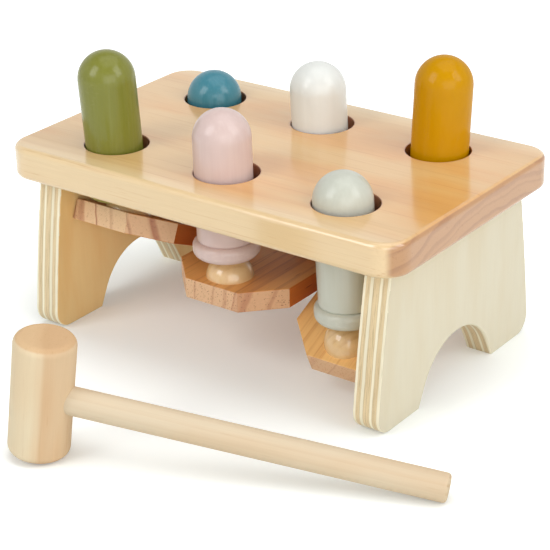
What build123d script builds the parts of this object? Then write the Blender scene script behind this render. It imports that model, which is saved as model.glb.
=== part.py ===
from build123d import *
import math
import os

# A peg pounding bench with its mallet, in millimetres, +Z up.
# The bench is laid out about its own centre on the floor: X runs along its length
# and Y to the back. At the end the whole set is moved so that the origin is at the
# bottom centre of everything, mallet included.

# ---- Bench top: one board with six peg holes ----
TOP_LENGTH = 202.0
TOP_DEPTH = 124.8
TOP_THICKNESS = 14.8
TOP_CORNER_RADIUS = 12.0
TOP_EDGE_ROUNDING = 2.5
HOLE_PITCH_X = 60.0
HOLE_PITCH_Y = 69.1
HOLE_DIAMETER = 28.0
HOLE_RIM_ROUNDING = 0.4

# ---- Plywood legs ----
LEG_HEIGHT = 71.2
LEG_THICKNESS = 12.6
LEG_OVERHANG = 8.9            # from the end of the top to the leg's outer face
LEG_TOP_DEPTH = 100.0
LEG_FOOT_DEPTH = 120.0        # at the floor, before the corners are rounded
LEG_EDGE_BOW = 0.8            # how far the sloping edge bulges out of a straight line
FOOT_CORNER_RADIUS = 8.0
ARCH_WIDTH = 58.6
ARCH_HEIGHT = 24.0
ARCH_SIDE_SLANT = 26.7        # degrees that the arch's straight lower sides lean off upright
LEG_EDGE_ROUNDING = 0.6

# ---- Glue dowels between each leg and the top ----
DOWEL_DIAMETER = 6.0
DOWEL_IN_TOP = 9.0
DOWEL_IN_LEG = 14.0
DOWEL_SPACING = 60.0
GLUE_GAP = 0.05               # radial, for glue around dowels and tenons
DOWEL_END_GAP = 0.3           # past each end of a dowel, for spare glue

# ---- Rockers: three octagonal see-saw boards on one axle ----
ROCKER_LENGTH = 95.4
ROCKER_THICKNESS = 9.1
ROCKER_NEIGHBOUR_GAP = 1.8    # with every board in the middle of its column
ROCKER_SHIFTS = {-1: -3.0, 0: 0.0, 1: 0.9}   # how far each board sits off its column, along the axle
ROCKER_LEG_GAP = 0.7
ROCKER_END_WIDTH = 27.4
ROCKER_CORNER_RUN = 16.0      # length of the slanted corners, measured along the board
ROCKER_EDGE_ROUNDING = 0.4
ROCKER_TILT = 24.5            # degrees from level to either stop
AXLE_DIAMETER = 5.0
AXLE_IN_LEG = 6.0
AXLE_CLEARANCE = 0.05         # radial, rocker bore over axle

# ---- Knobs: round wooden buttons glued to the rockers ----
KNOB_RADIUS = 10.3
KNOB_CENTRE_SINK = 0.7        # the knob's ball centre lies this far below the rocker's face
KNOB_STATION = 34.55          # from the axle along the rocker
KNOB_TENON_DIAMETER = 8.0
KNOB_TENON_LENGTH = 6.0

# ---- Pegs: domed shank, groove and collar, turned in one piece ----
PEG_DIAMETER = 24.8
PEG_LENGTH = 64.25
COLLAR_DIAMETER = 28.8
COLLAR_HEIGHT = 7.4
COLLAR_BOTTOM_ROUNDING = 3.4
GROOVE_DEPTH = 0.5
GROOVE_WIDTH = 0.7
PEG_RUN_GAP = 0.08            # least gap between a peg's foot and its knob
PEG_STOP_GAP = 0.10           # least gap between a raised collar and the top
PEG_LEAN_LIMIT = 0.06         # steepest lean of a peg in its loose hole, as a slope

# ---- Mallet ----
MALLET_HEAD_DIAMETER = 25.0
MALLET_HEAD_LENGTH = 51.6
MALLET_HEAD_ROUNDING = 3.4
HANDLE_DIAMETER = 11.6
HANDLE_REACH = 162.0          # from the head's axis to the handle's end
HANDLE_IN_HEAD = 9.0          # handle length past the head's axis, glued in
HANDLE_END_ROUNDING = 1.5
MALLET_X = -10.0              # head's place beside the bench
MALLET_Y = -142.2
MALLET_YAW = 21.7             # degrees

# ---- Worked out from the sizes above ----
UNDERSIDE = LEG_HEIGHT
TOP_SURFACE = LEG_HEIGHT + TOP_THICKNESS
LEG_OUTER_X = TOP_LENGTH / 2 - LEG_OVERHANG
LEG_INNER_X = LEG_OUTER_X - LEG_THICKNESS
LEG_MIDDLE_X = (LEG_OUTER_X + LEG_INNER_X) / 2
TILT = math.radians(ROCKER_TILT)
KNOB_CENTRE_LIFT = ROCKER_THICKNESS / 2 - KNOB_CENTRE_SINK   # above the axle's centre line
FRONT = -1
BACK = 1


class PegPlace:
    """Where one peg stands: its hole, how it lies in it, and how its column is tilted."""

    def __init__(self, name, column, row, rest_tilt, offset, lean, extra_length):
        self.name = name
        self.column = column                  # -1 left, 0 middle, 1 right
        self.row = row                        # FRONT or BACK
        self.rest_tilt = rest_tilt            # radians, back end up is positive
        self.axis = Vector(lean[0], lean[1], 1).normalized()
        self.lean = math.hypot(*lean)
        self.surface_point = Vector(
            column * HOLE_PITCH_X + offset[0],
            row * HOLE_PITCH_Y / 2 + offset[1],
            TOP_SURFACE,
        )
        self.length = PEG_LENGTH + extra_length


# name, column, row, tilt of its rocker at rest, offset in the hole, lean, extra length
PEG_PLACES = [
    PegPlace("green_peg", -1, FRONT, -TILT, (-0.50, -1.15), (-0.020, -0.055), 1.4),
    PegPlace("blue_peg", -1, BACK, -TILT, (-0.80, 0.40), (0.031, 0.000), 0.0),
    PegPlace("pink_peg", 0, FRONT, 0.0, (-1.20, -0.65), (-0.014, 0.000), 0.6),
    PegPlace("white_peg", 0, BACK, 0.0, (-0.60, -1.10), (-0.032, -0.026), 1.4),
    PegPlace("grey_peg", 1, FRONT, TILT, (-1.30, -0.20), (-0.035, -0.028), 0.5),
    PegPlace("mustard_peg", 1, BACK, TILT, (-0.02, 1.35), (0.020, 0.055), 0.0),
]
COLUMN_NAMES = {-1: "left", 0: "middle", 1: "right"}
COLUMN_REST_TILTS = {place.column: place.rest_tilt for place in PEG_PLACES}


# ---- See-saw motion ----
# A knob's ball centre turns about the axle, so along a peg's own axis it travels as
# swing * sin(tilt) + hold * cos(tilt). The peg follows the straight line through the two
# ends of that travel, raised by the most that the curve bulges above the line.

def knob_travel(axis, row):
    """Return swing and hold, in mm, for a knob seen along a peg's axis."""
    station = row * KNOB_STATION
    swing = axis.Z * station - axis.Y * KNOB_CENTRE_LIFT
    hold = axis.Y * station + axis.Z * KNOB_CENTRE_LIFT
    return swing, hold


def peg_ratio(swing):
    """Return the peg's travel in mm per radian of its rocker."""
    return swing * math.sin(TILT) / TILT


def curve_bulge(swing, hold):
    """Return how far the knob's curved travel rises above the straight line."""
    size = abs(swing)
    steepest = math.acos(size * math.sin(TILT) / TILT / math.hypot(size, hold))
    tilt = min(steepest - math.atan2(hold, size), TILT)
    over_line = size * (math.sin(tilt) - tilt * math.sin(TILT) / TILT)
    return over_line + hold * (math.cos(tilt) - math.cos(TILT))


def axle_height():
    """Return the axle height that brings a raised, leaning collar just under the top."""
    swing, hold = knob_travel(Vector(0, 0, 1), BACK)
    raised = swing * math.sin(TILT) + hold * math.cos(TILT) + curve_bulge(swing, hold)
    collar_rim_rise = PEG_LEAN_LIMIT * (PEG_DIAMETER / 2 - GROOVE_DEPTH)
    stack = KNOB_RADIUS + PEG_RUN_GAP + raised + COLLAR_HEIGHT + collar_rim_rise
    return UNDERSIDE - PEG_STOP_GAP - stack


AXLE_Z = axle_height()


def peg_foot(place):
    """Return the centre of a peg's flat foot at rest."""
    axis = place.axis
    swing, hold = knob_travel(axis, place.row)
    pivot = Vector(place.column * HOLE_PITCH_X, 0, AXLE_Z)
    along = (pivot - place.surface_point).dot(axis) + KNOB_RADIUS + PEG_RUN_GAP
    along += hold * math.cos(TILT) + curve_bulge(swing, hold)
    along += peg_ratio(swing) * place.rest_tilt
    return place.surface_point + axis * along


# ---- Shapes ----

def rod(diameter, start, end):
    """A round rod between two points."""
    return Plane(origin=start, z_dir=end - start) * Cylinder(
        diameter / 2, (end - start).length, align=(Align.CENTER, Align.CENTER, Align.MIN)
    )


def dowel_rods(side, gap=0.0, end_gap=0.0):
    """The two glue dowels of one leg as rods across the joint, or their bores with gaps."""
    rods = []
    for row in (FRONT, BACK):
        joint = Vector(side * LEG_MIDDLE_X, row * DOWEL_SPACING / 2, UNDERSIDE)
        low = joint - Vector(0, 0, DOWEL_IN_LEG + end_gap)
        high = joint + Vector(0, 0, DOWEL_IN_TOP + end_gap)
        rods.append(rod(DOWEL_DIAMETER + 2 * gap, low, high))
    return rods


def dowel_bores(side):
    """The bores that one leg's two dowels are glued into."""
    return dowel_rods(side, GLUE_GAP, DOWEL_END_GAP)


def axle():
    """The rod that all three rockers swing on, let into both legs."""
    reach = LEG_INNER_X + AXLE_IN_LEG
    return rod(AXLE_DIAMETER, Vector(-reach, 0, AXLE_Z), Vector(reach, 0, AXLE_Z))


def top_board():
    """The top: a board with rounded corners and edges, six holes and blind dowel holes."""
    outline = RectangleRounded(TOP_LENGTH, TOP_DEPTH, TOP_CORNER_RADIUS)
    board = Pos(0, 0, UNDERSIDE) * extrude(outline, TOP_THICKNESS)
    rims = board.edges().group_by(Axis.Z)
    board = fillet(rims[0] + rims[-1], TOP_EDGE_ROUNDING)
    cutters = dowel_bores(-1) + dowel_bores(1)
    for column in COLUMN_NAMES:
        for row in (FRONT, BACK):
            centre = Pos(column * HOLE_PITCH_X, row * HOLE_PITCH_Y / 2, UNDERSIDE)
            cutters.append(centre * peg_hole())
    return board - cutters


def peg_hole():
    """The cutter for one peg hole, flared at both rims by the rim's rounding."""
    radius = HOLE_DIAMETER / 2
    flare = HOLE_RIM_ROUNDING
    wide = radius + flare
    with BuildPart() as cutter:
        with BuildSketch(Plane.XZ):
            with BuildLine():
                Line((0, 0), (wide, 0))
                RadiusArc((wide, 0), (radius, flare), flare)
                Line((radius, flare), (radius, TOP_THICKNESS - flare))
                RadiusArc((radius, TOP_THICKNESS - flare), (wide, TOP_THICKNESS), flare)
                Line((wide, TOP_THICKNESS), (0, TOP_THICKNESS))
                Line((0, TOP_THICKNESS), (0, 0))
            make_face()
        revolve(axis=Axis.Z)
    return cutter.part


def leg_outline():
    """The leg seen from the side: flared edges, round foot corners and an arch with slanted sides."""
    top_half = LEG_TOP_DEPTH / 2
    foot_half = LEG_FOOT_DEPTH / 2
    arch_half = ARCH_WIDTH / 2
    level = math.cos(math.radians(ARCH_SIDE_SLANT))
    rise = math.sin(math.radians(ARCH_SIDE_SLANT))
    crown_radius = (arch_half * level - ARCH_HEIGHT * rise) / (1 - rise)
    shoulder = (crown_radius * level, ARCH_HEIGHT - crown_radius * (1 - rise))
    bow = ((top_half + foot_half) / 2 + LEG_EDGE_BOW, LEG_HEIGHT / 2)
    with BuildSketch(Plane.YZ) as outline:
        with BuildLine():
            Line((-top_half, LEG_HEIGHT), (top_half, LEG_HEIGHT))
            ThreePointArc((top_half, LEG_HEIGHT), bow, (foot_half, 0))
            Line((foot_half, 0), (arch_half, 0))
            Line((arch_half, 0), shoulder)
            ThreePointArc(shoulder, (0, ARCH_HEIGHT), (-shoulder[0], shoulder[1]))
            Line((-shoulder[0], shoulder[1]), (-arch_half, 0))
            Line((-arch_half, 0), (-foot_half, 0))
            ThreePointArc((-foot_half, 0), (-bow[0], bow[1]), (-top_half, LEG_HEIGHT))
        make_face()
        feet = outline.vertices().sort_by(Axis.X)
        fillet([feet[0], feet[-1]], FOOT_CORNER_RADIUS)
    return outline.sketch


def leg(side):
    """One plywood leg with its blind dowel holes and the axle's blind bore."""
    inner_face = side * LEG_MIDDLE_X - LEG_THICKNESS / 2
    panel = Pos(inner_face, 0, 0) * extrude(leg_outline(), LEG_THICKNESS)
    rims = panel.faces().filter_by(Axis.X).edges().group_by(Axis.Z)[1:-1]
    rims = [edge for level in rims for edge in level]
    panel = fillet(rims, LEG_EDGE_ROUNDING)
    return panel - (dowel_bores(side) + [axle()])


def rocker(column):
    """One level rocker: an octagon, cut off straight on a side that faces a leg."""
    centre = column * HOLE_PITCH_X + ROCKER_SHIFTS[column]
    full_reach = (HOLE_PITCH_X - ROCKER_NEIGHBOUR_GAP) / 2
    leg_reach = LEG_INNER_X - ROCKER_LEG_GAP - abs(centre)
    left_reach = min(leg_reach, full_reach) if column < 0 else full_reach
    right_reach = min(leg_reach, full_reach) if column > 0 else full_reach
    half_end = ROCKER_END_WIDTH / 2
    half_length = ROCKER_LENGTH / 2
    slope = ROCKER_CORNER_RUN / (full_reach - half_end)
    corners = []
    for across, along in ((-1, -1), (1, -1), (1, 1), (-1, 1)):
        reach = left_reach if across < 0 else right_reach
        if across == column:
            corners.append((centre + across * reach, along * half_length))
            continue
        end_corner = (centre + across * half_end, along * half_length)
        side_corner = (
            centre + across * reach,
            along * (half_length - slope * (reach - half_end)),
        )
        pair = [side_corner, end_corner]
        corners += pair if across * along > 0 else pair[::-1]
    outline = make_face(Polyline(*corners, close=True))
    board = Pos(0, 0, AXLE_Z - ROCKER_THICKNESS / 2) * extrude(outline, ROCKER_THICKNESS)
    rims = board.faces().filter_by(Axis.Z).edges()
    board = fillet(rims, ROCKER_EDGE_ROUNDING)
    bore_diameter = AXLE_DIAMETER + 2 * AXLE_CLEARANCE
    half_bore = Vector(HOLE_PITCH_X, 0, 0)
    middle = Vector(centre, 0, AXLE_Z)
    board -= rod(bore_diameter, middle - half_bore, middle + half_bore)
    for row in (FRONT, BACK):
        board -= knob_tenon(column, row, GLUE_GAP)
    return board


def knob_tenon(column, row, gap=0.0):
    """The tenon that holds a knob in its level rocker, or its bore with a gap."""
    face = AXLE_Z + ROCKER_THICKNESS / 2
    foot = Vector(column * HOLE_PITCH_X, row * KNOB_STATION, face - KNOB_TENON_LENGTH)
    diameter = KNOB_TENON_DIAMETER + 2 * gap
    return rod(diameter, foot, foot + Vector(0, 0, KNOB_TENON_LENGTH))


def knob(column, row):
    """One knob on the level rocker: a ball cut flat where it sits, with its tenon."""
    face = AXLE_Z + ROCKER_THICKNESS / 2
    seat = Pos(column * HOLE_PITCH_X, row * KNOB_STATION, face)
    ball = Pos(0, 0, -KNOB_CENTRE_SINK) * Sphere(KNOB_RADIUS)
    button = seat * split(ball, bisect_by=Plane.XY, keep=Keep.TOP)
    return button + knob_tenon(column, row)


def tilted(shape, tilt):
    """Turn a level rocker piece about the axle; back end up is positive."""
    return shape.rotate(Axis((0, 0, AXLE_Z), (1, 0, 0)), math.degrees(tilt))


def peg(place):
    """One turned peg at rest, leaning as it lies in its hole."""
    shank = PEG_DIAMETER / 2
    collar = COLLAR_DIAMETER / 2
    groove = shank - GROOVE_DEPTH
    foot = collar - COLLAR_BOTTOM_ROUNDING
    top_rounding = collar - groove
    upper = COLLAR_HEIGHT - top_rounding
    groove_top = COLLAR_HEIGHT + GROOVE_WIDTH
    with BuildPart() as turned:
        with BuildSketch(Plane.XZ):
            with BuildLine():
                Line((0, 0), (foot, 0))
                RadiusArc((foot, 0), (collar, COLLAR_BOTTOM_ROUNDING), -COLLAR_BOTTOM_ROUNDING)
                Line((collar, COLLAR_BOTTOM_ROUNDING), (collar, upper))
                RadiusArc((collar, upper), (groove, COLLAR_HEIGHT), -top_rounding)
                Line((groove, COLLAR_HEIGHT), (shank, groove_top))
                Line((shank, groove_top), (shank, place.length - shank))
                RadiusArc((shank, place.length - shank), (0, place.length), -shank)
                Line((0, place.length), (0, 0))
            make_face()
        revolve(axis=Axis.Z)
    return Plane(origin=peg_foot(place), z_dir=place.axis) * turned.part


def mallet_dip():
    """Return the angle, in radians, at which head rim and handle end both touch the floor."""
    upright = MALLET_HEAD_LENGTH / 2 - MALLET_HEAD_ROUNDING
    upright -= HANDLE_DIAMETER / 2 - HANDLE_END_ROUNDING
    level = HANDLE_REACH - HANDLE_END_ROUNDING
    level -= MALLET_HEAD_DIAMETER / 2 - MALLET_HEAD_ROUNDING
    step = HANDLE_END_ROUNDING - MALLET_HEAD_ROUNDING
    return math.acos(step / math.hypot(upright, level)) - math.atan2(level, upright)


def mallet_placed(shape):
    """Move a mallet piece from its own frame, head upright and handle along +X, to the floor."""
    dip = mallet_dip()
    end_drop = (HANDLE_REACH - HANDLE_END_ROUNDING) * math.sin(dip)
    end_drop += (HANDLE_DIAMETER / 2 - HANDLE_END_ROUNDING) * math.cos(dip) + HANDLE_END_ROUNDING
    dipped = shape.rotate(Axis.Y, math.degrees(dip)).rotate(Axis.Z, MALLET_YAW)
    return Pos(MALLET_X, MALLET_Y, end_drop) * dipped


def handle_blank():
    """The handle in the mallet's own frame, its glued end inside the head."""
    stick = rod(HANDLE_DIAMETER, Vector(-HANDLE_IN_HEAD, 0, 0), Vector(HANDLE_REACH, 0, 0))
    return fillet(stick.edges().sort_by(Axis.X)[-1], HANDLE_END_ROUNDING)


def mallet_head():
    """The mallet's head with the blind bore for its handle."""
    head = Cylinder(MALLET_HEAD_DIAMETER / 2, MALLET_HEAD_LENGTH)
    rims = head.edges().filter_by(GeomType.CIRCLE)
    head = fillet(rims, MALLET_HEAD_ROUNDING)
    return mallet_placed(head - handle_blank())


# ---- Every piece by name ----

def all_pieces():
    """Build each piece and return it under its name."""
    pieces = {"top_board": top_board(), "rocker_axle": axle()}
    for side, name in ((-1, "left_leg"), (1, "right_leg")):
        pieces[name] = leg(side)
        pieces[name + "_front_dowel"], pieces[name + "_rear_dowel"] = dowel_rods(side)
    for column, name in COLUMN_NAMES.items():
        tilt = COLUMN_REST_TILTS[column]
        pieces[name + "_rocker"] = tilted(rocker(column), tilt)
        for row, end in ((FRONT, "front"), (BACK, "rear")):
            pieces[f"{name}_{end}_knob"] = tilted(knob(column, row), tilt)
    for place in PEG_PLACES:
        pieces[place.name] = peg(place)
    pieces["mallet_head"] = mallet_head()
    pieces["mallet_handle"] = mallet_placed(handle_blank())
    return pieces


def print_joints(shift):
    """Print the joint places, axes and ratios, in metres, after the move to the origin."""
    axle_place = (Vector(0, 0, AXLE_Z) + shift) / 1000
    print("rocker hinges at", [round(value, 6) for value in axle_place])
    print("rocker range", ROCKER_TILT, "degrees each way from level")
    for place in PEG_PLACES:
        swing, _ = knob_travel(place.axis, place.row)
        ratio = peg_ratio(swing) / 1000
        axis = [round(value, 6) for value in place.axis]
        print(place.name, "axis", axis, "ratio", round(ratio, 8), "travel", round(2 * ratio * TILT, 8))


def main():
    """Build the set, move its bottom centre to the origin and write every piece."""
    pieces = all_pieces()
    boxes = [shape.bounding_box() for shape in pieces.values()]
    low = [min(tuple(box.min)[i] for box in boxes) for i in range(3)]
    high = [max(tuple(box.max)[i] for box in boxes) for i in range(3)]
    shift = Vector(-(low[0] + high[0]) / 2, -(low[1] + high[1]) / 2, -low[2])
    os.makedirs("parts", exist_ok=True)
    for name, shape in pieces.items():
        export_step(Pos(*shift) * shape, f"parts/{name}.step")
    print("bench centre at", [round(value, 4) for value in shift])
    print_joints(shift)


main()
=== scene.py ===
"""Dresses the peg pounding bench in its woods, plywood, paints and lacquers, and lights it for a photograph.

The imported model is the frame. Every turned or sawn piece keeps its own mesh, and this script gives it the finish
of the real one. The woods are solid: growth rings stand round a pith that lies along the grain, so long grain,
end grain and the walls of the holes meet at the edges as they do in sawn wood. Places and sizes are in metres in
the frame's axes, with +Z up and the front of the bench towards -Y. Grain, plies and rings are given in
millimetres, as a joiner would.
"""

from __future__ import annotations

import logging
import math
from dataclasses import dataclass, field, replace
from enum import Enum
from typing import Union

import bmesh
import bpy
from mathutils import Euler, Matrix, Vector

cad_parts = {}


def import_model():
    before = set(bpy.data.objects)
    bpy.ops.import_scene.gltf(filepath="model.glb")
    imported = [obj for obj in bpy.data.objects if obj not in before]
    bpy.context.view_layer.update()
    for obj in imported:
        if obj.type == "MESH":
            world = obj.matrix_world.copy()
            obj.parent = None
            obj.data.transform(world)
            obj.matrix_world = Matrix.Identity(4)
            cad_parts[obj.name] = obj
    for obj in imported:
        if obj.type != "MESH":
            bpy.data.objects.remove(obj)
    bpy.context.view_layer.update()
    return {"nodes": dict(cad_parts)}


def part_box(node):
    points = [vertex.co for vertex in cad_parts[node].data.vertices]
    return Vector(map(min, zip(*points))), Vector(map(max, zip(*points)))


LOG = logging.getLogger("pounding_bench")
MM_PER_M = 1000.0
ROCKER_TILT = math.radians(24.5)

# The Mix node's sockets when it mixes colours.
MIX_SHARE, MIX_FIRST, MIX_SECOND, MIX_RESULT = 0, 6, 7, 2
# The share of a fleck's radius that is full strength, and how softly a cell is picked to hold one.
FLECK_CORE, FLECK_PICK_BLUR = 0.45, 0.05

Chip = tuple[float, float, float]
Triple = tuple[float, float, float]
Socket = bpy.types.NodeSocket
Source = Union[Socket, float]


def linear(chip: Chip) -> tuple[float, float, float, float]:
    """Turns a colour chip into the linear colour that the shaders work in.

    Args:
        chip: red, green and blue in sRGB steps from 0 to 255.

    Returns:
        The linear colour with full opacity.
    """
    steps = [value / 255.0 for value in chip]
    red, green, blue = [s / 12.92 if s <= 0.04045 else ((s + 0.055) / 1.055) ** 2.4 for s in steps]
    return red, green, blue, 1.0


def direction(azimuth: float, elevation: float) -> Vector:
    """Gives the way from the bench to a place around it.

    Args:
        azimuth: degrees round from the front, towards the right.
        elevation: degrees up from the floor.

    Returns:
        A vector of length 1.
    """
    turn, lift = math.radians(azimuth), math.radians(elevation)
    return Vector((math.sin(turn) * math.cos(lift), -math.cos(turn) * math.cos(lift), math.sin(lift)))


class Run(Enum):
    """The way that a piece's grain runs, as the turn that lays local X along it."""

    ALONG_LENGTH = (0.0, 0.0, 0.0)
    FRONT_TO_BACK = (0.0, 0.0, math.pi / 2)
    UPRIGHT = (0.0, -math.pi / 2, 0.0)


class Side(Enum):
    """The bench's two ends, as the way along X that each one faces."""

    LEFT = -1.0
    RIGHT = 1.0


class Column(Enum):
    """The three see-saws, as the way that each one is tilted at rest."""

    LEFT = -1.0
    MIDDLE = 0.0
    RIGHT = 1.0


class Sheen(Enum):
    """How a coat shines: base roughness and reflection level, then the coat's weight, roughness and index."""

    CLEAR_SATIN = (0.42, 0.20, 1.00, 0.14, 1.72)
    THIN_SATIN = (0.50, 0.20, 0.30, 0.30, 1.50)
    BARE_SANDED = (0.65, 0.15, 0.05, 0.45, 1.50)
    TURNED_GLOSS = (0.38, 0.20, 1.00, 0.10, 1.60)
    PEG_PAINT = (0.46, 0.04, 0.64, 0.18, 1.50)
    DEEP_PAINT = (0.50, 0.00, 0.42, 0.18, 1.40)
    DRAWN = (0.30, 0.50, 0.00, 0.30, 1.50)


class NodeSheet:
    """A node tree, with a short call for each node that the finishes and the studio use."""

    def __init__(self, tree: bpy.types.NodeTree) -> None:
        """Takes over a tree and clears it."""
        self.tree = tree
        tree.nodes.clear()

    def add(self, kind: str, **settings: object) -> bpy.types.Node:
        """Adds a node.

        Args:
            kind: the node's Blender type.
            settings: attributes to set on it.

        Returns:
            The new node.
        """
        node = self.tree.nodes.new(kind)
        for name, value in settings.items():
            setattr(node, name, value)
        return node

    def plug(self, socket: Socket, source: Source) -> None:
        """Feeds a socket.

        Args:
            socket: the socket that is fed.
            source: another socket, or a plain number or colour.
        """
        if isinstance(source, bpy.types.NodeSocket):
            self.tree.links.new(source, socket)
        else:
            socket.default_value = source

    def calc(self, operation: str, first: Source, second: Source = 0.0, clamp: bool = False) -> Socket:
        """Does one sum.

        Args:
            operation: the Math node's operation.
            first: its first term.
            second: its second term.
            clamp: whether the answer is kept between 0 and 1.

        Returns:
            The answer.
        """
        node = self.add("ShaderNodeMath", operation=operation, use_clamp=clamp)
        self.plug(node.inputs[0], first)
        self.plug(node.inputs[1], second)
        return node.outputs[0]

    def stretch(self, where: Socket, factors: Triple) -> Socket:
        """Scales a place along each axis.

        Args:
            where: the place.
            factors: what x, y and z are multiplied by.

        Returns:
            The scaled place.
        """
        node = self.add("ShaderNodeVectorMath", operation="MULTIPLY")
        self.plug(node.inputs[0], where)
        node.inputs[1].default_value = factors
        return node.outputs[0]

    def drawn_out(self, where: Socket, share: float) -> Socket:
        """Squeezes a place along the grain to a share of its length, so that marks there come out longer."""
        return self.stretch(where, (share, 1.0, 1.0))

    def shift(self, where: Socket, by: Union[Socket, Triple]) -> Socket:
        """Moves a place.

        Args:
            where: the place.
            by: the move, fixed or from another node.

        Returns:
            The moved place.
        """
        node = self.add("ShaderNodeVectorMath", operation="ADD")
        self.plug(node.inputs[0], where)
        self.plug(node.inputs[1], by)
        return node.outputs[0]

    def parts_of(self, where: Socket) -> tuple[Socket, Socket, Socket]:
        """Splits a place.

        Args:
            where: the place.

        Returns:
            Its x, y and z.
        """
        node = self.add("ShaderNodeSeparateXYZ")
        self.plug(node.inputs[0], where)
        return node.outputs[0], node.outputs[1], node.outputs[2]

    def off_axis(self, where: Socket) -> Socket:
        """Measures how far a place lies from the line along its x.

        Args:
            where: the place.

        Returns:
            The distance.
        """
        node = self.add("ShaderNodeVectorMath", operation="LENGTH")
        self.plug(node.inputs[0], self.stretch(where, (0.0, 1.0, 1.0)))
        return node.outputs["Value"]

    def noise(self, where: Socket, scale: float, detail: float = 2.0, rough: float = 0.5) -> Socket:
        """Makes soft noise.

        Args:
            where: the place that it is read at.
            scale: cells per unit of the place.
            detail: octaves.
            rough: how strong the finer octaves are.

        Returns:
            The noise, about 0.5 at its middle.
        """
        return self.noise_node(where, scale, detail, rough).outputs[0]

    def noise_node(self, where: Socket, scale: float, detail: float, rough: float) -> bpy.types.Node:
        """Adds a noise node.

        Args:
            where: the place that it is read at.
            scale: cells per unit of the place.
            detail: octaves.
            rough: how strong the finer octaves are.

        Returns:
            The node.
        """
        node = self.add("ShaderNodeTexNoise")
        self.plug(node.inputs["Vector"], where)
        node.inputs["Scale"].default_value = scale
        node.inputs["Detail"].default_value = detail
        node.inputs["Roughness"].default_value = rough
        return node

    def flecks(self, where: Socket, scale: float, size: float, share: float) -> Socket:
        """Scatters small marks, such as pores.

        Args:
            where: the place, stretched so that a round mark there is the right mark on the wood.
            scale: cells per unit of the place.
            size: the mark's radius as a share of its cell.
            share: how many of the cells hold a mark.

        Returns:
            1 in the middle of a mark and 0 outside.
        """
        cells = self.add("ShaderNodeTexVoronoi")
        self.plug(cells.inputs["Vector"], where)
        cells.inputs["Scale"].default_value = scale
        near = self.rise(cells.outputs["Distance"], size, size * FLECK_CORE)
        pick = self.parts_of(cells.outputs["Color"])[0]
        return self.calc("MULTIPLY", near, self.rise(pick, 1.0 - share, 1.0 - share + FLECK_PICK_BLUR))

    def rise(self, value: Source, low: float, high: float) -> Socket:
        """Makes a soft step.

        Args:
            value: what is tested.
            low: where the step is 0. It may be above high, for a step that falls.
            high: where the step is 1.

        Returns:
            The step, from 0 to 1.
        """
        node = self.add("ShaderNodeMapRange", interpolation_type="SMOOTHSTEP")
        falls = low > high
        self.plug(node.inputs["Value"], value)
        node.inputs["From Min"].default_value = min(low, high)
        node.inputs["From Max"].default_value = max(low, high)
        node.inputs["To Min"].default_value = 1.0 if falls else 0.0
        node.inputs["To Max"].default_value = 0.0 if falls else 1.0
        return node.outputs[0]

    def spread(self, value: Source, low: Source, high: Source) -> Socket:
        """Lays a 0 to 1 value out between two others.

        Args:
            value: the value from 0 to 1.
            low: what 0 becomes.
            high: what 1 becomes.

        Returns:
            The value in its new range.
        """
        node = self.add("ShaderNodeMapRange")
        self.plug(node.inputs["Value"], value)
        self.plug(node.inputs["To Min"], low)
        self.plug(node.inputs["To Max"], high)
        return node.outputs[0]

    def curve(self, value: Source, stops: list[tuple[float, float]]) -> Socket:
        """Shapes a value through a few stops.

        Args:
            value: the value from 0 to 1.
            stops: pairs of where and how much.

        Returns:
            The shaped value.
        """
        node = self.add("ShaderNodeValToRGB")
        node.color_ramp.interpolation = "EASE"
        elements = node.color_ramp.elements
        while len(elements) < len(stops):
            elements.new(0.5)
        for element, (position, amount) in zip(elements, stops):
            element.position = position
            element.color = (amount, amount, amount, 1.0)
        self.plug(node.inputs[0], value)
        return node.outputs[0]

    def mix(self, share: Source, first: Union[Socket, Chip], second: Union[Socket, Chip],
            way: str = "MIX") -> Socket:
        """Mixes two colours.

        Args:
            share: how much of the second.
            first: a colour socket or a chip.
            second: a colour socket or a chip.
            way: the mix's blend type.

        Returns:
            The mixed colour.
        """
        node = self.add("ShaderNodeMix", data_type="RGBA", blend_type=way)
        self.plug(node.inputs[MIX_SHARE], share)
        for place, colour in ((MIX_FIRST, first), (MIX_SECOND, second)):
            self.plug(node.inputs[place], colour if isinstance(colour, bpy.types.NodeSocket) else linear(colour))
        return node.outputs[MIX_RESULT]

    def shade(self, colour: Socket, amount: Source) -> Socket:
        """Darkens or lightens a colour.

        Args:
            colour: the colour.
            amount: what it is multiplied by.

        Returns:
            The new colour.
        """
        node = self.add("ShaderNodeVectorMath", operation="SCALE")
        self.plug(node.inputs[0], colour)
        self.plug(node.inputs["Scale"], amount)
        return node.outputs[0]

    def seen_directly(self) -> Socket:
        """Tells the rays that show a backdrop from those that light the bench.

        Returns:
            1 for rays from the camera, a mirror or glass, 0 for the rest.
        """
        rays = self.add("ShaderNodeLightPath").outputs
        seen = self.calc("MAXIMUM", rays["Is Camera Ray"], rays["Is Glossy Ray"])
        return self.calc("MAXIMUM", seen, rays["Is Transmission Ray"])


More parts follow.
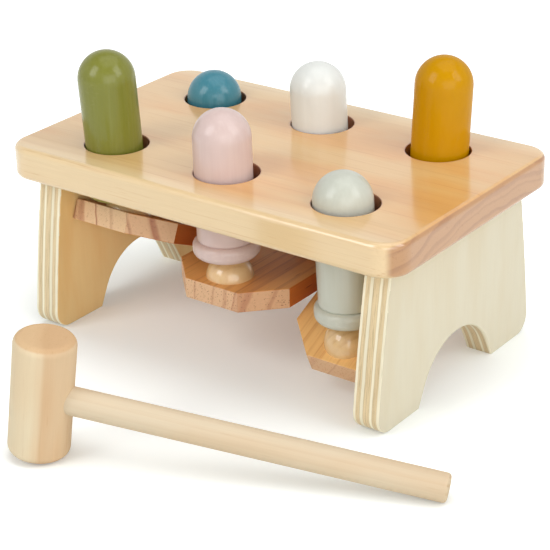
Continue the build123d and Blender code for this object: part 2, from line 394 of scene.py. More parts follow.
class ShaderSheet(NodeSheet):
    """One material's node sheet, which ends in a Principled shader."""

    def __init__(self, name: str, sheen: Sheen) -> None:
        """Opens the sheet.

        Args:
            name: what the finish is called.
            sheen: how its coat shines.
        """
        self.material = bpy.data.materials.new(name)
        self.material.use_nodes = True
        super().__init__(self.material.node_tree)
        self.shader = self.add("ShaderNodeBsdfPrincipled")
        output = self.add("ShaderNodeOutputMaterial")
        self.plug(output.inputs["Surface"], self.shader.outputs["BSDF"])
        roughness, reflection, coat, coat_roughness, coat_index = sheen.value
        self.shader.inputs["Roughness"].default_value = roughness
        self.shader.inputs["Specular IOR Level"].default_value = reflection
        self.shader.inputs["Coat Weight"].default_value = coat
        self.shader.inputs["Coat Roughness"].default_value = coat_roughness
        self.shader.inputs["Coat IOR"].default_value = coat_index
        self.coords = self.add("ShaderNodeTexCoord")

    def relief(self, height: Socket, depth_mm: float) -> Socket:
        """Raises fine relief.

        Args:
            height: the relief from 0 to 1.
            depth_mm: how deep it is, in millimetres.

        Returns:
            The new normal.
        """
        node = self.add("ShaderNodeBump")
        node.inputs["Strength"].default_value = 1.0
        node.inputs["Distance"].default_value = depth_mm / MM_PER_M
        self.plug(node.inputs["Height"], height)
        return node.outputs[0]

    def close(self, colour: Socket, roughness: Socket, normal: Socket) -> bpy.types.Material:
        """Feeds the shader and hands the material over.

        Args:
            colour: the surface's colour.
            roughness: its roughness.
            normal: its normal with the relief on it.

        Returns:
            The finished material.
        """
        self.plug(self.shader.inputs["Base Color"], colour)
        self.plug(self.shader.inputs["Roughness"], roughness)
        self.plug(self.shader.inputs["Normal"], normal)
        return self.material


@dataclass(frozen=True)
class Stand:
    """How a piece stands in the frame: its middle, and the turn that lays local X along its grain."""

    middle: Triple
    turn: Triple

    def place(self, sheet: ShaderSheet) -> Socket:
        """Gives a point's place in the piece.

        Args:
            sheet: the sheet that asks.

        Returns:
            The place from the piece's middle in millimetres, with x along the grain.
        """
        node = sheet.add("ShaderNodeMapping", vector_type="TEXTURE")
        sheet.plug(node.inputs["Vector"], sheet.coords.outputs["Object"])
        node.inputs["Location"].default_value = self.middle
        node.inputs["Rotation"].default_value = self.turn
        node.inputs["Scale"].default_value = (1.0 / MM_PER_M,) * 3
        return node.outputs[0]

    def facing(self, sheet: ShaderSheet, axis: int = 0) -> Socket:
        """Tells end grain from long grain, or the sides from the flats.

        Args:
            sheet: the sheet that asks.
            axis: 0 for the grain's own axis, 1 for across the piece, 2 for through it.

        Returns:
            1 on a face that looks along the axis, 0 on one beside it.
        """
        node = sheet.add("ShaderNodeMapping", vector_type="TEXTURE")
        sheet.plug(node.inputs["Vector"], sheet.coords.outputs["Normal"])
        node.inputs["Rotation"].default_value = self.turn
        return sheet.calc("ABSOLUTE", sheet.parts_of(node.outputs[0])[axis])


@dataclass(frozen=True)
class SawnWood:
    """Sawn or turned wood under a clear coat, with growth rings round a pith along the grain.

    early and late are a ring's pale and dark wood on faces along the grain, end_early and end_late the same on cuts
    across it, and blush is the warm tint of its patches. pith is the pith's place across the grain from the piece's
    middle, and lengths are in millimetres.
    """

    early: Chip
    late: Chip
    end_early: Chip
    end_late: Chip
    blush: Chip
    sheen: Sheen
    ring_pitch: float = 4.0
    pith: tuple[float, float] = (12.0, -60.0)
    wander: float = 2.5
    waviness: float = 0.16
    scatter: float = 0.8
    late_from: float = 0.45
    faintest_ring: float = 0.30
    ring_strength: float = 0.5
    end_ring_strength: float = 0.7
    blush_strength: float = 0.4
    blush_size: float = 32.0
    fibre_strength: float = 0.10
    streak_strength: float = 0.12
    pore_strength: float = 0.3
    relief_mm: float = 0.03

    def dress(self, name: str, stand: Stand) -> bpy.types.Material:
        """Makes the finish for one piece.

        Args:
            name: what the finish is called.
            stand: how the piece stands.

        Returns:
            The material.
        """
        sheet = ShaderSheet(name, self.sheen)
        place = stand.place(sheet)
        across = sheet.rise(stand.facing(sheet), 0.50, 0.75)
        late = self.rings(sheet, place)
        fibre = sheet.noise(sheet.drawn_out(place, 0.035), 1.7, 4.0, 0.62)
        marks = self.marks(sheet, place, across)

        along_grain = sheet.mix(sheet.calc("MULTIPLY", late, self.ring_strength), self.early, self.late)
        patches = sheet.noise(sheet.drawn_out(place, 0.30), 1.0 / self.blush_size, 2.0, 0.55)
        warm = sheet.calc("MULTIPLY", sheet.rise(patches, 0.42, 0.66), self.blush_strength)
        along_grain = self.tint(sheet, stand, place, sheet.mix(warm, along_grain, self.blush, "MULTIPLY"))
        cut_across = sheet.mix(sheet.calc("MULTIPLY", late, self.end_ring_strength), self.end_early, self.end_late)
        colour = sheet.mix(across, along_grain, cut_across)
        colour = sheet.shade(colour, sheet.spread(fibre, 1.0 + self.fibre_strength, 1.0 - self.fibre_strength))
        colour = sheet.mix(marks, colour, self.late, "MULTIPLY")

        base = self.sheen.value[0]
        roughness = sheet.calc("ADD", sheet.spread(fibre, base - 0.05, base + 0.07),
                               sheet.calc("MULTIPLY", across, 0.16), clamp=True)
        height = sheet.calc("SUBTRACT", sheet.calc("ADD", fibre, sheet.calc("MULTIPLY", late, 0.35)), marks)
        return sheet.close(colour, roughness, sheet.relief(height, self.relief_mm))

    def tint(self, sheet: ShaderSheet, stand: Stand, place: Socket, colour: Socket) -> Socket:
        """Tints the faces along the grain. Plain wood leaves them alone."""
        return colour

    def marks(self, sheet: ShaderSheet, place: Socket, across: Socket) -> Socket:
        """Scatters fine dark streaks and pores along the grain, and open pores where it is cut across.

        Args:
            sheet: the sheet that asks.
            place: the place in the piece, in millimetres.
            across: 1 on a cut across the grain.

        Returns:
            How dark the marks are, from 0 to 1.
        """
        threads = sheet.noise(sheet.drawn_out(place, 0.016), 0.9, 3.0, 0.65)
        streaks = sheet.calc("MULTIPLY", sheet.rise(threads, 0.57, 0.72), self.streak_strength)
        dashes = sheet.flecks(sheet.drawn_out(place, 0.10), 0.62, 0.24, 0.35)
        pricks = sheet.calc("MULTIPLY", sheet.flecks(place, 0.95, 0.30, 0.45), across)
        pores = sheet.calc("MULTIPLY", sheet.calc("MAXIMUM", dashes, pricks), self.pore_strength)
        return sheet.calc("ADD", streaks, pores, clamp=True)

    def rings(self, sheet: ShaderSheet, place: Socket) -> Socket:
        """Lays the growth rings.

        Args:
            sheet: the sheet that asks.
            place: the place in the piece, in millimetres.

        Returns:
            How much of the wood there is late wood, from 0 to 1.
        """
        drift = sheet.noise_node(sheet.drawn_out(place, self.waviness), 0.055, 2.0, 0.5)
        bend = sheet.stretch(sheet.shift(drift.outputs[1], (-0.5, -0.5, -0.5)), (self.wander * 2.0,) * 3)
        reach = sheet.off_axis(sheet.shift(sheet.shift(place, bend), (0.0, -self.pith[0], -self.pith[1])))
        growth = sheet.add("ShaderNodeTexNoise", noise_dimensions="1D")
        sheet.plug(growth.inputs["W"], reach)
        growth.inputs["Scale"].default_value = 0.11
        growth.inputs["Detail"].default_value = 1.0
        uneven = sheet.calc("ADD", sheet.calc("DIVIDE", reach, self.ring_pitch),
                            sheet.spread(growth.outputs[0], 0.0, 2.0 * self.scatter))
        year = sheet.add("ShaderNodeTexWhiteNoise", noise_dimensions="1D")
        sheet.plug(year.inputs["W"], sheet.calc("FLOOR", uneven))
        dark = sheet.curve(sheet.calc("FRACT", uneven), [
            (0.0, 0.30), (0.06, 0.0), (self.late_from, 0.06), (0.84, 0.85), (0.94, 1.0), (1.0, 0.30)])
        return sheet.calc("MULTIPLY", dark, sheet.spread(year.outputs["Value"], self.faintest_ring, 1.0))


@dataclass(frozen=True)
class DrilledPine(SawnWood):
    """Pine for the drilled top, with paler sapwood along its front and back and painted shade on the walls of its
    holes.
    """

    sapwood: Chip = (234, 209, 164)
    sapwood_strength: float = 0.75
    painted_hole_shade: Chip = (176, 116, 84)
    hole_shade_blur: tuple[float, float] = (0.7, 0.1)
    edges: tuple[float, float] = (46.0, 62.0)
    hole_pitch: float = 60.0
    hole_row: float = 34.55
    hole_radius: float = 14.0

    def tint(self, sheet: ShaderSheet, stand: Stand, place: Socket, colour: Socket) -> Socket:
        """Pales the edges and paints shade on the holes' walls.

        Args:
            sheet: the sheet that asks.
            stand: how the board stands; not used.
            place: the place in the board, in millimetres.
            colour: the wood's colour so far.

        Returns:
            The tinted colour.
        """
        along, off_middle, _ = sheet.parts_of(place)
        from_middle = sheet.calc("ABSOLUTE", off_middle)
        pale = sheet.calc("MULTIPLY", sheet.rise(from_middle, *self.edges), self.sapwood_strength)
        column = sheet.calc("MULTIPLY", sheet.calc("ROUND", sheet.calc("DIVIDE", along, self.hole_pitch)),
                            self.hole_pitch)
        aside = sheet.calc("SUBTRACT", along, column)
        ahead = sheet.calc("SUBTRACT", from_middle, self.hole_row)
        square = sheet.calc("ADD", sheet.calc("MULTIPLY", aside, aside), sheet.calc("MULTIPLY", ahead, ahead))
        # painted shade: the holes' walls are mixed towards a darker chip that stands in for the shade inside the
        # holes
        outside, inside = self.hole_shade_blur
        in_hole_shade = sheet.rise(sheet.calc("SQRT", square), self.hole_radius + outside, self.hole_radius + inside)
        return sheet.mix(in_hole_shade, sheet.mix(pale, colour, self.sapwood), self.painted_hole_shade)


@dataclass(frozen=True)
class SideShadedPine(SawnWood):
    """Pine for the rockers, with painted shade that makes the sawn sides darker and redder than the flats."""

    painted_side_shade: Chip = (232, 182, 146)

    def tint(self, sheet: ShaderSheet, stand: Stand, place: Socket, colour: Socket) -> Socket:
        """Paints shade on the sawn sides, darkening them.

        Args:
            sheet: the sheet that asks.
            stand: how the rocker stands.
            place: the place in the rocker, in millimetres; not used.
            colour: the wood's colour so far.

        Returns:
            The tinted colour.
        """
        # painted shade: the sawn sides are multiplied by a dark red chip that stands in for their shadow
        return sheet.mix(sheet.rise(stand.facing(sheet, 1), 0.45, 0.75), colour, self.painted_side_shade, "MULTIPLY")


@dataclass(frozen=True)
class BirchPly:
    """Birch plywood: a pale outer veneer, a golden inner one lightened with painted light, and a stack of plies that
    shows on every cut edge.

    The stack lies along X, and plies are the plies' widths in millimetres from the outer face in. Plies with their
    grain along the edge show pale, and plies cut across show tan with pores and small dark voids.
    """

    outward: float
    face: Chip = (220, 211, 187)
    face_deep: Chip = (217, 205, 177)
    back: Chip = (252, 220, 158)
    # painted light: the inner veneer's golden chips are lightened well past its own colour, standing in for light
    # that its shaded face lacks
    back_deep: Chip = (247, 206, 138)
    pale_ply: Chip = (250, 241, 214)
    tan_ply: Chip = (232, 210, 168)
    glue: Chip = (172, 144, 104)
    void: Chip = (92, 66, 44)
    sheen: Sheen = Sheen.THIN_SATIN
    plies: tuple[float, ...] = (1.3, 2.1, 1.3, 3.0, 1.5, 1.9, 1.5)
    joint_blur: float = 0.010
    seam_width: tuple[float, float] = (0.016, 0.004)
    seam_strength: float = 0.22
    line_strength: float = 0.45
    grit_strength: float = 0.10
    void_strength: float = 0.85

    def boundaries(self) -> list[float]:
        """Gives the ply joints.

        Returns:
            Where the plies meet, from 0 at the outer face to 1 at the inner one.
        """
        whole = sum(self.plies)
        return [sum(self.plies[:count]) / whole for count in range(1, len(self.plies))]

    def dress(self, name: str, stand: Stand) -> bpy.types.Material:
        """Makes the finish for one leg.

        Args:
            name: what the finish is called.
            stand: how the leg stands, with local X across its plies.

        Returns:
            The material.
        """
        sheet = ShaderSheet(name, self.sheen)
        place = stand.place(sheet)
        on_face = sheet.rise(stand.facing(sheet), 0.70, 0.86)
        waver = sheet.noise(sheet.drawn_out(place, 0.10), 0.07, 3.0)
        depth = sheet.calc("ADD", sheet.calc("DIVIDE", sheet.parts_of(place)[0], -self.outward * sum(self.plies)),
                           sheet.spread(waver, 0.472, 0.528))
        tan, seam = self.stack(sheet, depth)
        edge, height = self.edge(sheet, place, depth, tan, seam)
        veneer, fibre = self.veneer(sheet, place, sheet.rise(depth, 0.48, 0.52))
        colour = sheet.mix(on_face, edge, veneer)
        base = self.sheen.value[0]
        on_edge = sheet.calc("SUBTRACT", 1.0, on_face)
        roughness = sheet.calc("ADD", sheet.spread(fibre, base - 0.04, base + 0.06),
                               sheet.calc("MULTIPLY", on_edge, 0.12))
        level = sheet.calc("ADD", sheet.calc("MULTIPLY", fibre, on_face), sheet.calc("MULTIPLY", height, on_edge))
        return sheet.close(colour, roughness, sheet.relief(level, 0.035))

    def stack(self, sheet: ShaderSheet, depth: Socket) -> tuple[Socket, Socket]:
        """Stacks the plies.

        Args:
            sheet: the sheet that asks.
            depth: the place through the stack, from 0 to 1.

        Returns:
            1 on the tan plies and 0 on the pale ones, and 1 on the glue seams.
        """
        stops = [(0.0, 0.0)]
        for index, joint in enumerate(self.boundaries()):
            before = float(index % 2)
            stops += [(joint - self.joint_blur, before), (joint + self.joint_blur, 1.0 - before)]
        tan = sheet.curve(depth, stops)
        seam: Source = 0.0
        for joint in self.boundaries():
            away = sheet.calc("ABSOLUTE", sheet.calc("SUBTRACT", depth, joint))
            seam = sheet.calc("MAXIMUM", seam, sheet.rise(away, *self.seam_width))
        return tan, seam

    def edge(self, sheet: ShaderSheet, place: Socket, depth: Socket, tan: Socket,
             seam: Socket) -> tuple[Socket, Socket]:
        """Colours the cut edge.

        Args:
            sheet: the sheet that asks.
            place: the place in the leg, in millimetres.
            depth: the place through the stack.
            tan: 1 on the tan plies.
            seam: 1 on the glue seams.

        Returns:
            The edge's colour and its relief.
        """
        colour = sheet.mix(tan, self.pale_ply, self.tan_ply)
        level = sheet.calc("FLOOR", sheet.calc("MULTIPLY", depth, float(len(self.plies))))
        layer = sheet.add("ShaderNodeTexWhiteNoise", noise_dimensions="1D")
        sheet.plug(layer.inputs["W"], level)
        colour = sheet.shade(colour, sheet.spread(layer.outputs["Value"], 0.95, 1.04))
        streak = sheet.noise(sheet.stretch(place, (2.2, 0.07, 0.07)), 1.4, 3.0, 0.6)
        lines = sheet.calc("MULTIPLY", sheet.rise(streak, 0.50, 0.66), tan)
        colour = sheet.shade(colour, sheet.spread(streak, 1.06, 0.93))
        colour = sheet.mix(sheet.calc("MULTIPLY", lines, self.line_strength), colour, self.glue)
        grit = sheet.calc("MULTIPLY", sheet.flecks(place, 2.6, 0.42, 0.5), tan)
        voids = sheet.calc("MULTIPLY", sheet.flecks(sheet.stretch(place, (1.0, 0.45, 0.45)), 0.42, 0.17, 0.13), tan)
        colour = sheet.shade(colour, sheet.calc("SUBTRACT", 1.0, sheet.calc("MULTIPLY", grit, self.grit_strength)))
        colour = sheet.mix(sheet.calc("MULTIPLY", seam, self.seam_strength), colour, self.glue)
        colour = sheet.mix(sheet.calc("MULTIPLY", voids, self.void_strength), colour, self.void)
        low = sheet.calc("ADD", sheet.calc("MULTIPLY", seam, 0.5), sheet.calc("ADD", voids, grit))
        return colour, sheet.calc("SUBTRACT", sheet.calc("MULTIPLY", streak, 0.8), low)

    def veneer(self, sheet: ShaderSheet, place: Socket, inner: Socket) -> tuple[Socket, Socket]:
        """Colours the face veneers, with their grain upright; the inner one's golden tone is lightened as painted
        light.

        Args:
            sheet: the sheet that asks.
            place: the place in the leg, in millimetres.
            inner: 1 on the leg's inner face.

        Returns:
            The veneer's colour and its fibre.
        """
        fibre = sheet.noise(sheet.stretch(place, (1.0, 1.0, 0.05)), 1.2, 4.0, 0.6)
        waves = sheet.noise(sheet.stretch(place, (1.0, 1.0, 0.22)), 0.075, 3.0, 0.5)
        wave = sheet.rise(waves, 0.34, 0.76)
        outer_face = sheet.mix(wave, self.face, self.face_deep)
        # painted light: the inner face's colour is the golden veneer made lighter to stand in for missing light
        painted_lit_inner_face = sheet.mix(wave, self.back, self.back_deep)
        colour = sheet.mix(inner, outer_face, painted_lit_inner_face)
        return sheet.shade(colour, sheet.spread(fibre, 1.03, 0.97)), fibre


@dataclass(frozen=True)
class PegPaint:
    """Satin paint on a turned peg. The grain under it shows faintly, and the collar's rim is rubbed thin."""

    colour: Chip
    thin: Chip
    sheen: Sheen = Sheen.PEG_PAINT
    rim_radius: float = 14.4
    grain_strength: float = 0.22
    rub_strength: float = 0.35

    def dress(self, name: str, stand: Stand) -> bpy.types.Material:
        """Makes the finish for one peg.

        Args:
            name: what the finish is called.
            stand: how the peg stands, with local X up its axis.

        Returns:
            The material.
        """
        sheet = ShaderSheet(name, self.sheen)
        place = stand.place(sheet)
        grain = sheet.noise(sheet.drawn_out(place, 0.03), 0.75, 3.0, 0.55)
        peel = sheet.noise(place, 0.9, 2.0, 0.5)
        cloud = sheet.noise(place, 0.07, 2.0, 0.5)
        rim = sheet.rise(sheet.off_axis(place), self.rim_radius - 0.5, self.rim_radius)
        rubs = sheet.rise(sheet.noise(sheet.stretch(place, (1.0, 0.4, 0.4)), 0.9, 3.0, 0.6), 0.52, 0.66)
        rubbed = sheet.calc("MULTIPLY", sheet.calc("MULTIPLY", rim, rubs), self.rub_strength)
        tone = sheet.mix(sheet.rise(grain, 0.40, 0.75), self.colour, self.thin)
        colour = sheet.mix(self.grain_strength, self.colour, tone)
        colour = sheet.shade(colour, sheet.spread(cloud, 1.035, 0.965))
        colour = sheet.mix(rubbed, colour, self.thin)
        base = self.sheen.value[0]
        roughness = sheet.calc("ADD", sheet.spread(peel, base - 0.05, base + 0.06),
                               sheet.calc("MULTIPLY", rubbed, 0.3))
        height = sheet.calc("ADD", sheet.calc("MULTIPLY", grain, 0.7), sheet.calc("MULTIPLY", peel, 0.3))
        return sheet.close(colour, roughness, sheet.relief(height, 0.03))


@dataclass(frozen=True)
class DrawnSteel:
    """The axle's drawn steel rod, with fine lines along it."""

    colour: Chip = (168, 168, 170)
    smear_colour: Chip = (150, 150, 154)
    sheen: Sheen = Sheen.DRAWN

    def dress(self, name: str, stand: Stand) -> bpy.types.Material:
        """Makes the finish for the axle.

        Args:
            name: what the finish is called.
            stand: how the axle stands, with local X along it.

        Returns:
            The material.
        """
        sheet = ShaderSheet(name, self.sheen)
        sheet.shader.inputs["Metallic"].default_value = 1.0
        place = stand.place(sheet)
        lines = sheet.noise(sheet.drawn_out(place, 0.02), 6.0, 3.0, 0.6)
        smear = sheet.noise(place, 0.2, 2.0)
        colour = sheet.shade(sheet.mix(smear, self.colour, self.smear_colour), sheet.spread(lines, 1.05, 0.92))
        return sheet.close(colour, sheet.spread(lines, 0.24, 0.40), sheet.relief(lines, 0.008))


Finish = Union[SawnWood, BirchPly, PegPaint, DrawnSteel]

TOP_PINE = DrilledPine(
    early=(227, 186, 126), late=(202, 146, 84), end_early=(188, 137, 86), end_late=(136, 77, 45),
    blush=(252, 218, 172), sheen=Sheen.CLEAR_SATIN, ring_pitch=4.2, pith=(14.0, -190.0), wander=3.0, scatter=1.2,
    ring_strength=0.34, end_ring_strength=0.55, blush_strength=0.60, blush_size=26.0, fibre_strength=0.05,
    streak_strength=0.26, pore_strength=0.10)

ROCKER_PINE = SideShadedPine(
    early=(228, 166, 98), late=(154, 80, 44), end_early=(226, 184, 144), end_late=(178, 110, 82),
    blush=(238, 200, 170), sheen=Sheen.THIN_SATIN, ring_pitch=8.0, pith=(-90.0, 25.0), wander=2.0, scatter=1.0,
    ring_strength=0.42, end_ring_strength=0.85, late_from=0.72, faintest_ring=0.25, blush_strength=0.5,
    fibre_strength=0.09, streak_strength=0.34, pore_strength=0.34, relief_mm=0.05)

LEFT_ROCKER_PINE = replace(
    ROCKER_PINE, end_early=(236, 200, 158), end_late=(164, 88, 62), late_from=0.62, end_ring_strength=0.95,
    pore_strength=0.15)

MIDDLE_ROCKER_PINE = replace(
    ROCKER_PINE, pith=(-76.0, -14.0), ring_pitch=11.0, end_ring_strength=0.65, pore_strength=0.60)

RIGHT_ROCKER_PINE = replace(
    ROCKER_PINE, early=(248, 200, 130), late=(204, 132, 72), pith=(-80.0, -70.0), end_ring_strength=0.35)

KNOB_BEECH = SawnWood(
    early=(234, 200, 148), late=(212, 172, 116), end_early=(228, 192, 138), end_late=(206, 162, 108),
    blush=(246, 226, 202), sheen=Sheen.TURNED_GLOSS, ring_pitch=2.6, pith=(9.0, 14.0), wander=1.0,
    ring_strength=0.20, blush_strength=0.3, blush_size=12.0, fibre_strength=0.05, pore_strength=0.08,
    relief_mm=0.015)

MALLET_HEAD_BIRCH = SawnWood(
    early=(230, 213, 181), late=(212, 176, 136), end_early=(220, 186, 144), end_late=(196, 150, 108),
    blush=(250, 230, 210), sheen=Sheen.BARE_SANDED, ring_pitch=42.5, pith=(10.5, -38.6), wander=0.6, waviness=0.02,
    scatter=0.0, late_from=0.30, faintest_ring=0.9, ring_strength=0.85, end_ring_strength=0.35, blush_strength=0.3,
    blush_size=18.0, fibre_strength=0.04, streak_strength=0.16, pore_strength=0.12)

MALLET_HANDLE_BIRCH = SawnWood(
    early=(220, 202, 174), late=(208, 182, 148), end_early=(218, 196, 164), end_late=(198, 166, 126),
    blush=(250, 232, 214), sheen=Sheen.BARE_SANDED, ring_pitch=3.0, pith=(7.0, 18.0), wander=1.2, waviness=0.05,
    ring_strength=0.25, blush_strength=0.4, blush_size=20.0, fibre_strength=0.04, pore_strength=0.10)

DOWEL_BEECH = SawnWood(
    early=(222, 182, 132), late=(196, 150, 100), end_early=(214, 172, 124), end_late=(184, 138, 92),
    blush=(240, 216, 192), sheen=Sheen.BARE_SANDED, ring_pitch=2.0, pith=(4.0, 12.0), wander=0.6,
    ring_strength=0.5, blush_strength=0.3, blush_size=10.0, fibre_strength=0.12, relief_mm=0.08)


class PegColour(Enum):
    """The six pegs' paints."""

    GREEN = PegPaint((126, 128, 50), (142, 144, 76))
    BLUE = PegPaint((68, 132, 148), (98, 152, 166))
    PINK = PegPaint((216, 192, 186), (228, 208, 200))
    WHITE = PegPaint((228, 230, 225), (234, 234, 228))
    GREY = PegPaint((200, 202, 189), (212, 214, 202))
    MUSTARD = PegPaint((200, 143, 0), (204, 152, 8), Sheen.DEEP_PAINT)


@dataclass
class Workbench:
    """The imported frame, and the calls that every sub-assembly needs from it."""

    nodes: dict[str, bpy.types.Object]

    def middle(self, node: str) -> Triple:
        """Gives a node's middle.

        Args:
            node: the CAD node.

        Returns:
            The middle of its box, in metres.
        """
        low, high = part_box(node)
        return tuple((low + high) / 2.0)

    def stand(self, node: str, run: Run, lean: Triple = (0.0, 0.0, 0.0)) -> Stand:
        """Sets up a node's grain.

        Args:
            node: the CAD node.
            run: the way that its grain runs.
            lean: a further turn of the piece about X, Y and Z, in radians.

        Returns:
            How the piece stands.
        """
        laid = Euler(lean).to_matrix() @ Euler(run.value).to_matrix()
        return Stand(self.middle(node), tuple(laid.to_euler("XYZ")))

    def finish(self, node: str, finish: Finish, stand: Stand) -> None:
        """Gives a CAD node its finish and logs it.

        Args:
            node: the CAD node.
            finish: the finish that it gets.
            stand: how the piece stands.
        """
        material = finish.dress(f"{node}_finish", stand)
        piece = self.nodes[node]
        piece.data.materials.clear()
        piece.data.materials.append(material)
        LOG.info("%s: %s, %d faces", node, type(finish).__name__, len(piece.data.polygons))


@dataclass
class TopBoard:
    """The drilled top, a lacquered pine board."""

    bench: Workbench
    wood: SawnWood = TOP_PINE

    def build(self) -> None:
        """Finishes the board, with its grain along the bench."""
        self.bench.finish("top_board", self.wood, self.bench.stand("top_board", Run.ALONG_LENGTH))


@dataclass
class PlyLeg:
    """One plywood leg with the glued dowels that hold it to the top."""

    bench: Workbench
    side: Side
    dowel_wood: SawnWood = DOWEL_BEECH
    dowels: tuple[str, str] = ("front", "rear")

    def build(self) -> None:
        """Finishes the leg, with its golden veneer inwards and lightened as painted light, and its dowels."""
        leg = f"{self.side.name.lower()}_leg"
        ply = BirchPly(outward=self.side.value)
        self.bench.finish(leg, ply, self.bench.stand(leg, Run.ALONG_LENGTH))
        for place in self.dowels:
            dowel = f"{leg}_{place}_dowel"
            self.bench.finish(dowel, self.dowel_wood, self.bench.stand(dowel, Run.UPRIGHT))


@dataclass
class SeeSaw:
    """A rocker on the axle, with the two knobs glued to it."""

    bench: Workbench
    column: Column
    wood: SawnWood
    knob_wood: SawnWood = KNOB_BEECH
    rows: tuple[str, str] = ("front", "rear")

    def build(self) -> None:
        """Finishes the rocker and its knobs, all tilted as they stand."""
        column = self.column.name.lower()
        rocker = f"{column}_rocker"
        lean = (self.column.value * ROCKER_TILT, 0.0, 0.0)
        self.bench.finish(rocker, self.wood, self.bench.stand(rocker, Run.FRONT_TO_BACK, lean))
        for row in self.rows:
            knob = f"{column}_{row}_knob"
            self.bench.finish(knob, self.knob_wood, self.bench.stand(knob, Run.UPRIGHT, lean))


@dataclass
class PaintedPeg:
    """A turned and painted peg that slides in its hole."""

    bench: Workbench
    colour: PegColour

    def build(self) -> None:
        """Paints the peg."""
        peg = f"{self.colour.name.lower()}_peg"
        self.bench.finish(peg, self.colour.value, self.bench.stand(peg, Run.UPRIGHT))


@dataclass
class Mallet:
    """The mallet that lies in front of the bench: a turned head on a straight handle."""

    bench: Workbench
    yaw: float = math.radians(21.7)
    dip: float = math.radians(7.6)
    head_wood: SawnWood = MALLET_HEAD_BIRCH
    handle_wood: SawnWood = MALLET_HANDLE_BIRCH

    def build(self) -> None:
        """Finishes the head, which stands nearly upright, and the handle that lies out of it."""
        lean = (0.0, self.dip, self.yaw)
        self.bench.finish("mallet_head", self.head_wood, self.bench.stand("mallet_head", Run.UPRIGHT, lean))
        along = self.bench.stand("mallet_handle", Run.ALONG_LENGTH, lean)
        self.bench.finish("mallet_handle", self.handle_wood, along)


@dataclass
class Axle:
    """The rod that the three see-saws turn on."""

    bench: Workbench
    steel: DrawnSteel = DrawnSteel()

    def build(self) -> None:
        """Finishes the rod."""
        self.bench.finish("rocker_axle", self.steel, self.bench.stand("rocker_axle", Run.ALONG_LENGTH))


@dataclass(frozen=True)
class Softbox:
    """A soft lamp aimed at the bench: where it stands, its size in metres and its power in watts."""

    name: str
    azimuth: float
    elevation: float
    distance: float
    width: float
    height: float
    power: float

    def place(self, target: Vector) -> None:
        """Hangs the lamp.

        Args:
            target: the point that it faces.
        """
        towards = direction(self.azimuth, self.elevation)
        data = bpy.data.lights.new(self.name, "AREA")
        data.shape = "RECTANGLE"
        data.size = self.width
        data.size_y = self.height
        data.energy = self.power
        lamp = bpy.data.objects.new(self.name, data)
        lamp.location = target + towards * self.distance
        lamp.rotation_mode = "QUATERNION"
        lamp.rotation_quaternion = (-towards).to_track_quat("-Z", "Y")
        bpy.context.scene.collection.objects.link(lamp)
        LOG.info("lamp %s at %.2f m", self.name, self.distance)


@dataclass(frozen=True)
class PhotoCamera:
    """The photograph's camera, solved from the bench's corners. Offsets are from the floor under the top's middle."""

    azimuth: float = 36.932
    elevation: float = 25.039
    roll: float = -1.322
    aim: Triple = (0.04332, -0.06042, 0.0600)
    distance: float = 0.74417
    focal_pixels: float = 1869.41
    frame_pixels: float = 550.0
    sensor_mm: float = 36.0
    clip: tuple[float, float] = (0.01, 50.0)

    def place(self, under_top: Vector) -> None:
        """Sets the camera up and makes it the scene's.

        Args:
            under_top: the floor point under the middle of the top.
        """
        azimuth, roll = math.radians(self.azimuth), math.radians(self.roll)
        back = direction(self.azimuth, self.elevation)
        level = Vector((math.cos(azimuth), math.sin(azimuth), 0.0))
        rise = back.cross(level)
        right = level * math.cos(roll) + rise * math.sin(roll)
        up = back.cross(right)
        data = bpy.data.cameras.new("photo_camera")
        data.sensor_width = self.sensor_mm
        data.lens = self.focal_pixels / self.frame_pixels * self.sensor_mm
        data.clip_start, data.clip_end = self.clip
        camera = bpy.data.objects.new("photo_camera", data)
        camera.rotation_mode = "QUATERNION"
        camera.rotation_quaternion = Matrix((right, up, back)).transposed().to_quaternion()
        camera.location = under_top + Vector(self.aim) + back * self.distance
        bpy.context.scene.collection.objects.link(camera)
        bpy.context.scene.camera = camera
        LOG.info("camera %.0f mm, %.3f m away", data.lens, self.distance)


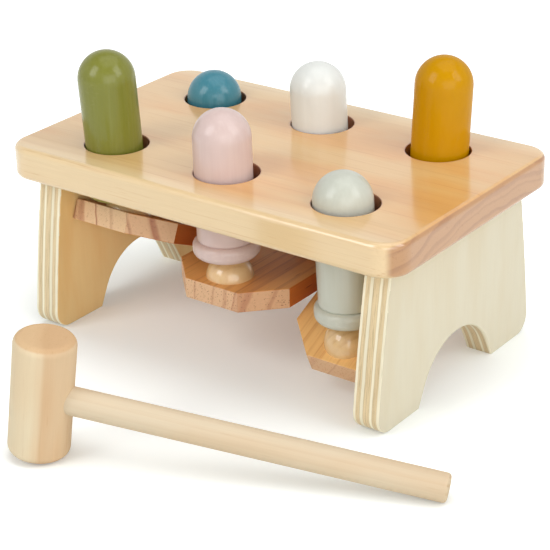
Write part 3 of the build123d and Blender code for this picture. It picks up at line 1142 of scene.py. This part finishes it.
@dataclass
class Studio:
    """A white sweep, a pale floor, soft lamps and the camera.

    near_lift and far_lift are the white that sheltered and open floor get where the camera sees them. Something
    within shelter_reach shelters the floor, and shelter gives the shares of open sky between which the lift rises.
    """

    under_top: Vector
    lamp_aim: float = 0.06
    floor_size: float = 4.0
    floor_drop: float = 0.00004
    floor_chip: Chip = (234, 238, 236)
    near_lift: float = 0.19
    far_lift: float = 0.58
    shelter_reach: float = 0.12
    shelter: tuple[float, float] = (0.42, 1.00)
    ambient: float = 0.30
    ceiling: float = 0.30
    sweep_turn: tuple[float, float] = (0.48, 0.80)
    lamps: tuple[Softbox, ...] = field(default_factory=lambda: (
        Softbox("front_left_softbox", -23.8, 37.0, 2.20, 0.97, 1.40, 17.5),
        Softbox("right_softbox", 97.6, 37.0, 2.20, 0.97, 1.40, 15.0),
        Softbox("front_fill", 54.0, 15.0, 2.60, 2.40, 1.40, 22.0),
        Softbox("overhead_softbox", 150.0, 78.0, 2.40, 2.40, 2.40, 21.0),
    ))

    def build(self) -> None:
        """Sets the whole studio up."""
        bpy.context.scene.view_settings.view_transform = "Standard"
        self.lay_floor()
        self.set_world()
        for lamp in self.lamps:
            lamp.place(self.under_top + Vector((0.0, 0.0, self.lamp_aim)))
        PhotoCamera().place(self.under_top)

    def lay_floor(self) -> None:
        """Lays the floor. White is added where the camera sees it in the open, so that it meets the sweep."""
        mesh = bpy.data.meshes.new("studio_floor")
        shape = bmesh.new()
        bmesh.ops.create_grid(shape, x_segments=1, y_segments=1, size=self.floor_size / 2.0)
        shape.to_mesh(mesh)
        shape.free()
        floor = bpy.data.objects.new("studio_floor", mesh)
        floor.location = self.under_top - Vector((0.0, 0.0, self.floor_drop))
        bpy.context.scene.collection.objects.link(floor)
        material = bpy.data.materials.new("studio_floor_paper")
        material.use_nodes = True
        sheet = NodeSheet(material.node_tree)
        paper = sheet.add("ShaderNodeBsdfDiffuse")
        paper.inputs["Color"].default_value = linear(self.floor_chip)
        open_sky = sheet.add("ShaderNodeAmbientOcclusion")
        open_sky.inputs["Distance"].default_value = self.shelter_reach
        # painted shadow: the white lift is smaller where something shelters the floor, which deepens the shadow under
        # the bench and the mallet
        lift = sheet.spread(sheet.rise(open_sky.outputs["AO"], *self.shelter), self.near_lift, self.far_lift)
        glow = sheet.add("ShaderNodeEmission")
        sheet.plug(glow.inputs["Strength"], sheet.calc("MULTIPLY", sheet.seen_directly(), lift))
        both = sheet.add("ShaderNodeAddShader")
        sheet.plug(both.inputs[0], paper.outputs[0])
        sheet.plug(both.inputs[1], glow.outputs[0])
        sheet.plug(sheet.add("ShaderNodeOutputMaterial").inputs["Surface"], both.outputs[0])
        mesh.materials.append(material)

    def set_world(self) -> None:
        """Makes the sweep: white where it is seen or mirrored, up to a dim ceiling, and a plain fill elsewhere."""
        world = bpy.data.worlds.new("white_sweep")
        world.use_nodes = True
        sheet = NodeSheet(world.node_tree)
        height = sheet.parts_of(sheet.add("ShaderNodeTexCoord").outputs["Generated"])[2]
        sweep = sheet.spread(sheet.rise(height, *self.sweep_turn), 1.0, self.ceiling)
        back = sheet.add("ShaderNodeBackground")
        back.inputs["Color"].default_value = (1.0, 1.0, 1.0, 1.0)
        sheet.plug(back.inputs["Strength"], sheet.spread(sheet.seen_directly(), self.ambient, sweep))
        sheet.plug(sheet.add("ShaderNodeOutputWorld").inputs["Surface"], back.outputs[0])
        bpy.context.scene.world = world


def main() -> None:
    """Dresses every sub-assembly and sets the studio up."""
    logging.basicConfig(level=logging.INFO, format="%(name)s %(message)s")
    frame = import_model()
    bench = Workbench(frame["nodes"])

    TopBoard(bench).build()
    for side in Side:
        PlyLeg(bench, side).build()
    Axle(bench).build()
    for column, wood in zip(Column, (LEFT_ROCKER_PINE, MIDDLE_ROCKER_PINE, RIGHT_ROCKER_PINE)):
        SeeSaw(bench, column, wood).build()
    for colour in PegColour:
        PaintedPeg(bench, colour).build()
    Mallet(bench).build()

    low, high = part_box("top_board")
    Studio(Vector(((low.x + high.x) / 2.0, (low.y + high.y) / 2.0, 0.0))).build()

    LOG.info("sizes written")


if __name__ == "__main__":
    main()
